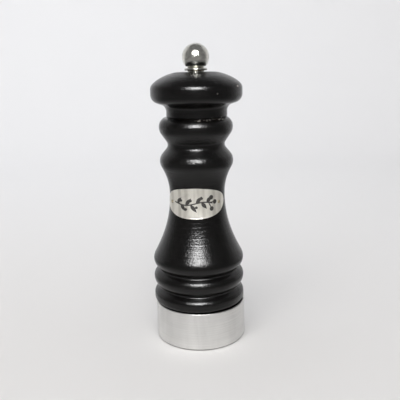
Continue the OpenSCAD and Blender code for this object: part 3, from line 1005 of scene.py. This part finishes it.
def area_light(name, azimuth, elevation, distance, width, height, power, aim=(0, 0, 0.08),
               glossy=True, diffuse=True, tint=(1, 1, 1), spread=180):
    """A rectangle of light that faces aim, from a bearing and height given in degrees."""
    data = bpy.data.lights.new(name, "AREA")
    data.shape, data.size, data.size_y, data.energy = "RECTANGLE", width, height, power
    data.color, data.spread = tint, math.radians(spread)
    light = linked(bpy.data.objects.new(name, data))
    a, e = math.radians(azimuth), math.radians(elevation)
    back = Vector((math.sin(a) * math.cos(e), -math.cos(a) * math.cos(e), math.sin(e)))
    light.location = Vector(aim) + back * distance
    light.rotation_euler = (-back).to_track_quat("-Z", "Y").to_euler()
    light.visible_glossy, light.visible_diffuse = glossy, diffuse
    light.visible_camera = False
    return light


def level_by(tree, ray, low, high):
    """A strength that goes from low to high as the light path's output named ray goes to 1."""
    level = tree.nodes.new("ShaderNodeMapRange")
    level.inputs["To Min"].default_value, level.inputs["To Max"].default_value = low, high
    tree.links.new(tree.nodes.new("ShaderNodeLightPath").outputs[ray], level.inputs["Value"])
    return level.outputs[0]


def soften_spill(light, share):
    """Lets only a share of the light reach the floor by way of the polished ring."""
    light.data.use_nodes = True
    tree = light.data.node_tree
    tree.links.new(level_by(tree, "Diffuse Depth", 1.0, share),
                   tree.nodes["Emission"].inputs["Strength"])


def make_room():
    """Even light from all round, brighter on matt surfaces than in reflections."""
    world = bpy.data.worlds.new("room")
    bpy.context.scene.world = world
    world.use_nodes = True
    background = world.node_tree.nodes["Background"]
    background.inputs["Color"].default_value = colour(0.985, 0.99, 1.0)
    world.node_tree.links.new(level_by(world.node_tree, "Is Glossy Ray", 0.68, 0.19),
                              background.inputs["Strength"])


def make_light():
    """A window that only reflections see, and two soft lights that only matt surfaces see."""
    window = area_light("window", azimuth=-2, elevation=37, distance=0.8, width=0.38, height=0.35,
                        power=14.9, diffuse=False)
    soften_spill(window, 0.6)
    area_light("soft_key", azimuth=-14, elevation=50, distance=0.95, width=0.9, height=0.7,
               power=4.7, glossy=False, tint=(1.0, 0.975, 0.945))
    area_light("wall_wash", azimuth=-10, elevation=35, distance=0.9, width=0.8, height=0.5,
               power=2.75, aim=(-0.15, 0.95, 0.42), glossy=False, tint=(0.89, 0.93, 1.0),
               spread=140)
    bpy.context.scene.cycles.caustics_reflective = True
    bpy.context.scene.view_settings.view_transform = "Standard"


def make_camera():
    """A camera in front of the mill, above its middle, that looks a little down."""
    place, down, roll = (0.00089, -0.3323, 0.1695), 13.95, -1.17
    data = bpy.data.cameras.new("camera")
    data.lens, data.sensor_width, data.clip_start = 50, 36, 0.01
    camera = linked(bpy.data.objects.new("camera", data))
    camera.matrix_world = Matrix.Translation(place) \
        @ Matrix.Rotation(math.radians(90 - down), 4, "X") \
        @ Matrix.Rotation(math.radians(roll), 4, "Z")
    bpy.context.scene.camera = camera


# ---- the mill

BARE = bare_wood("bare_wood")
LACQUER = lacquered_wood("black_lacquer", [
    ((-0.0155, -0.0195, 0.0508), 0.00035), ((-0.0075, -0.0265, 0.0432), 0.0003)],
    [(0.1375, 0.0006, 0.45, (-0.002, 0.017))])
HEAD_LACQUER = lacquered_wood("black_lacquer_head", [
    ((-0.0012, -0.0225, 0.1608), 0.0004), ((0.0115, -0.0243, 0.1525), 0.00035),
    ((0.0235, -0.0128, 0.1560), 0.0006)], [(0.1384, 0.0005, 0.40, (0.001, 0.016))])
# the ring's lowest 0.6 mm get a painted contact shadow along its foot
STEEL = metal("satin_steel", colour(0.78, 0.775, 0.76), colour(0.47, 0.465, 0.455), rough=0.36,
              lines=(30, 30, 2600), lines_depth=0.03, smudge=0.05, smudge_scale=(75, 75, 14),
              painted_shade_height=0.6 * MM)
# near-black dark colour: the smudges paint the knob's dark reflections of the room into its colour
NICKEL = metal("polished_nickel", colour(0.95, 0.94, 0.88), colour(0.07, 0.068, 0.06), rough=0.125,
               lines=(700, 700, 2600), lines_depth=0.03, smudge=0.06, smudge_scale=420, spots=0.9,
               dents=0.28)
PLATE_METAL = plate_metal("plate_nickel")
PIN_METAL = metal("aged_pins", colour(0.50, 0.45, 0.33), colour(0.28, 0.25, 0.18), rough=0.38,
                  lines=(900, 900, 900), lines_depth=0.10, smudge=0.10, smudge_scale=400,
                  spots=0.6)
ENGRAVING = engraving_fill("engraving_fill")
PLATED = metal("plated_steel", colour(0.62, 0.62, 0.60), colour(0.48, 0.48, 0.46), rough=0.30,
               lines=(500, 500, 500), lines_depth=0.08, smudge=0.10, smudge_scale=200, spots=0.4)
SPRING_STEEL = metal("spring_steel", colour(0.46, 0.46, 0.47), colour(0.30, 0.30, 0.31), rough=0.26,
                     lines=(900, 900, 900), lines_depth=0.05, smudge=0.08, smudge_scale=240)
SPINDLE_STEEL = metal("drawn_steel", colour(0.60, 0.595, 0.58), colour(0.44, 0.435, 0.42),
                      rough=0.24, lines=(2200, 2200, 40), lines_depth=0.10, smudge=0.08,
                      smudge_scale=120, spots=0.3)
BRASS = metal("brass", colour(0.72, 0.52, 0.24), colour(0.50, 0.34, 0.14), rough=0.24,
              lines=(90, 90, 2400), lines_depth=0.08, smudge=0.10, smudge_scale=150, spots=0.3)
BURR = metal("burr_steel", colour(0.36, 0.35, 0.34), colour(0.20, 0.195, 0.19), rough=0.38,
             lines=(1200, 1200, 1200), lines_depth=0.12, smudge=0.12, smudge_scale=260, spots=0.8)

make_ring()
make_body()
make_plate()
make_motif()
make_pins()
make_outer_burr()
make_retaining_plate()
make_bridge()
washer("spring_washer_top", "upper_spring_washer", 5.8 * MM, ROUND_HOLE, PLATED, "spring_seat",
       "plated_steel")
make_spring()
washer("spring_washer_low", "lower_spring_washer", 5.8 * MM, ROUND_HOLE, PLATED, "spindle",
       "plated_steel")
make_spindle()
make_inner_burr()
washer("burr_stop_washer", "burr_washer", 4.8 * MM, ROUND_HOLE, PLATED, "spindle", "plated_steel")
make_clip()
make_head()
make_drive_plate()
make_bush()
washer("knob_seat_washer", "knob_washer", 5 * MM, THREAD_HOLE, NICKEL, "knob_washer", "nickel_knob",
       ease=0.2 * MM)
make_knob()

make_stage()
make_room()
make_light()
make_camera()
